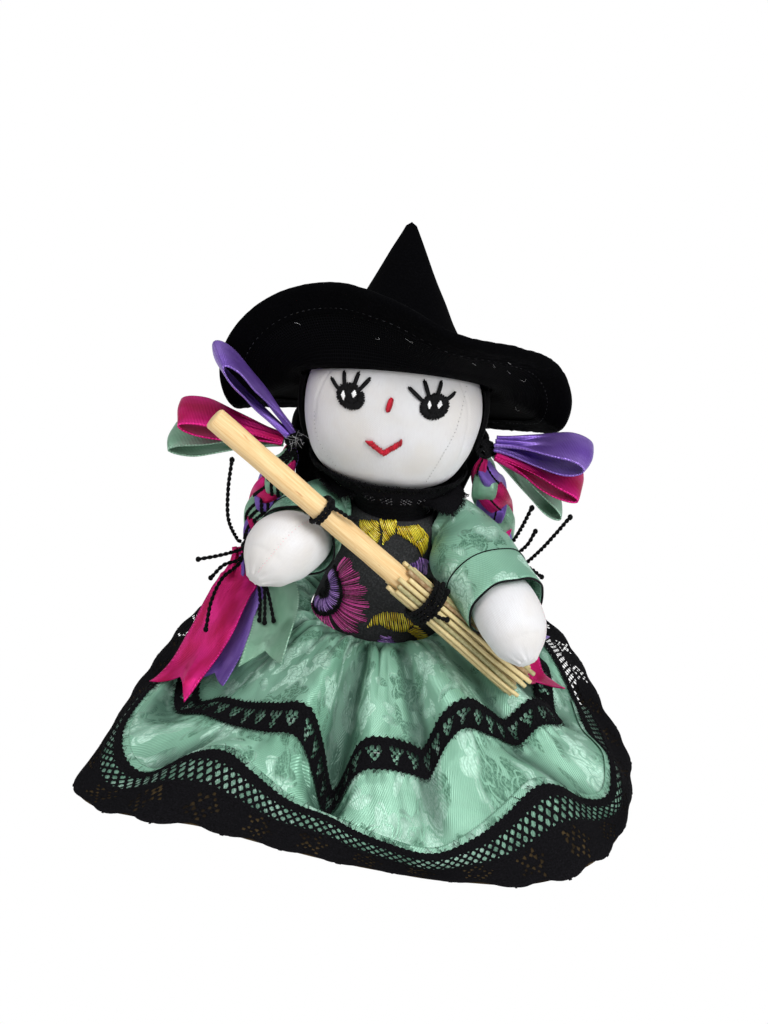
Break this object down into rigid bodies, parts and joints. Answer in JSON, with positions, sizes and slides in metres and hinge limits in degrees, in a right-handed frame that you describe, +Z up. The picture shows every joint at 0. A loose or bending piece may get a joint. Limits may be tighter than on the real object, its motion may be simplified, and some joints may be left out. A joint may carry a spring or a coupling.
{
  "type": "rag doll",
  "caption": "Seated cloth doll with a pointed wide-brimmed hat, ribbon bows and braids, a tiered satin skirt with lace, and a straw broom held across the chest.",
  "frame": {"origin": "middle of the flat seat of the stuffed body, on the surface it sits on", "axes": "+Z up, -Y where the doll faces, +X towards the doll's left side"},
  "size_m": [0.2042, 0.1898, 0.1842],
  "materials": {
    "muslin": "plain woven cotton, matt white",
    "hat_felt": "black velvet-like felt",
    "hat_mesh": "black crinoline mesh",
    "bodice_felt": "dark grey felt with embroidered petals",
    "lace": "black crochet lace",
    "yarn": "black twisted yarn",
    "red_thread": "red cotton floss",
    "mint_satin": "mint brocade satin, soft sheen",
    "ribbon_purple": "purple satin ribbon",
    "ribbon_magenta": "magenta satin ribbon",
    "ribbon_mint": "mint satin ribbon",
    "wood": "pale bare dowel",
    "straw": "dry plant straw"
  },
  "bodies": {
    "doll": {"torso": "muslin", "head": "muslin", "right_eye": "yarn", "left_eye": "yarn", "nose_stitch": "red_thread", "mouth_stitch": "red_thread", "right_bow_knot": "yarn", "left_bow_knot": "yarn", "hair": "yarn", "hat_crown": "hat_felt", "hat_brim": "hat_felt", "hat_brim_lining": "hat_mesh", "hat_edge_binding": "hat_felt", "bodice": "bodice_felt", "lace_collar": "lace", "skirt_upper_tier": "mint_satin", "skirt_mid_lace": "lace", "skirt_lower_tier": "mint_satin", "skirt_hem_lace": "lace", "right_bow_purple": "ribbon_purple", "right_bow_magenta": "ribbon_magenta", "right_bow_mint": "ribbon_mint", "left_bow_purple": "ribbon_purple", "left_bow_magenta": "ribbon_magenta", "left_bow_mint": "ribbon_mint"},
    "right_arm_and_broom": {"right_arm": "muslin", "right_sleeve": "mint_satin", "broom_handle": "wood", "broom_straws": "straw", "broom_binding": "yarn", "hand_tie": "yarn"},
    "left_arm": {"left_arm": "muslin", "left_sleeve": "mint_satin"},
    "right_leg": {"right_leg": "muslin"},
    "left_leg": {"left_leg": "muslin"},
    "right_braid_body": {"right_braid": "ribbon_purple", "right_braid_tie": "yarn", "right_yarn_up": "yarn", "right_yarn_down": "yarn", "right_tail_mint": "ribbon_mint", "right_tail_purple": "ribbon_purple", "right_tail_magenta": "ribbon_magenta"},
    "left_braid_body": {"left_braid": "ribbon_purple", "left_braid_tie": "yarn", "left_yarn_up": "yarn", "left_yarn_out": "yarn", "left_tail_mint": "ribbon_mint", "left_tail_purple": "ribbon_purple", "left_tail_magenta": "ribbon_magenta"}
  },
  "joints": [
    {"name": "right_shoulder", "type": "hinge", "parent": "doll", "child": "right_arm_and_broom", "pos_m": [-0.0191, -0.001, 0.085], "axis": [-1, 0, 0], "range_deg": [0, 8]},
    {"name": "left_shoulder", "type": "hinge", "parent": "doll", "child": "left_arm", "pos_m": [0.0191, -0.001, 0.085], "axis": [-1, 0, 0], "range_deg": [0, 8]},
    {"name": "right_hip", "type": "hinge", "parent": "doll", "child": "right_leg", "pos_m": [-0.0125, -0.0216, 0.005], "axis": [1, 0, 0], "range_deg": [0, 80]},
    {"name": "left_hip", "type": "hinge", "parent": "doll", "child": "left_leg", "pos_m": [0.0125, -0.0216, 0.005], "axis": [1, 0, 0], "range_deg": [0, 80]},
    {"name": "right_braid_swing", "type": "hinge", "parent": "doll", "child": "right_braid_body", "pos_m": [-0.0385, -0.005, 0.112], "axis": [0, 1, 0], "range_deg": [0, 10]},
    {"name": "left_braid_swing", "type": "hinge", "parent": "doll", "child": "left_braid_body", "pos_m": [0.0295, -0.005, 0.1185], "axis": [0, -1, 0], "range_deg": [0, 10]}
  ],
  "couplings": [
    {"joint": "left_shoulder", "follows": "right_shoulder", "ratio": 1}
  ]
}
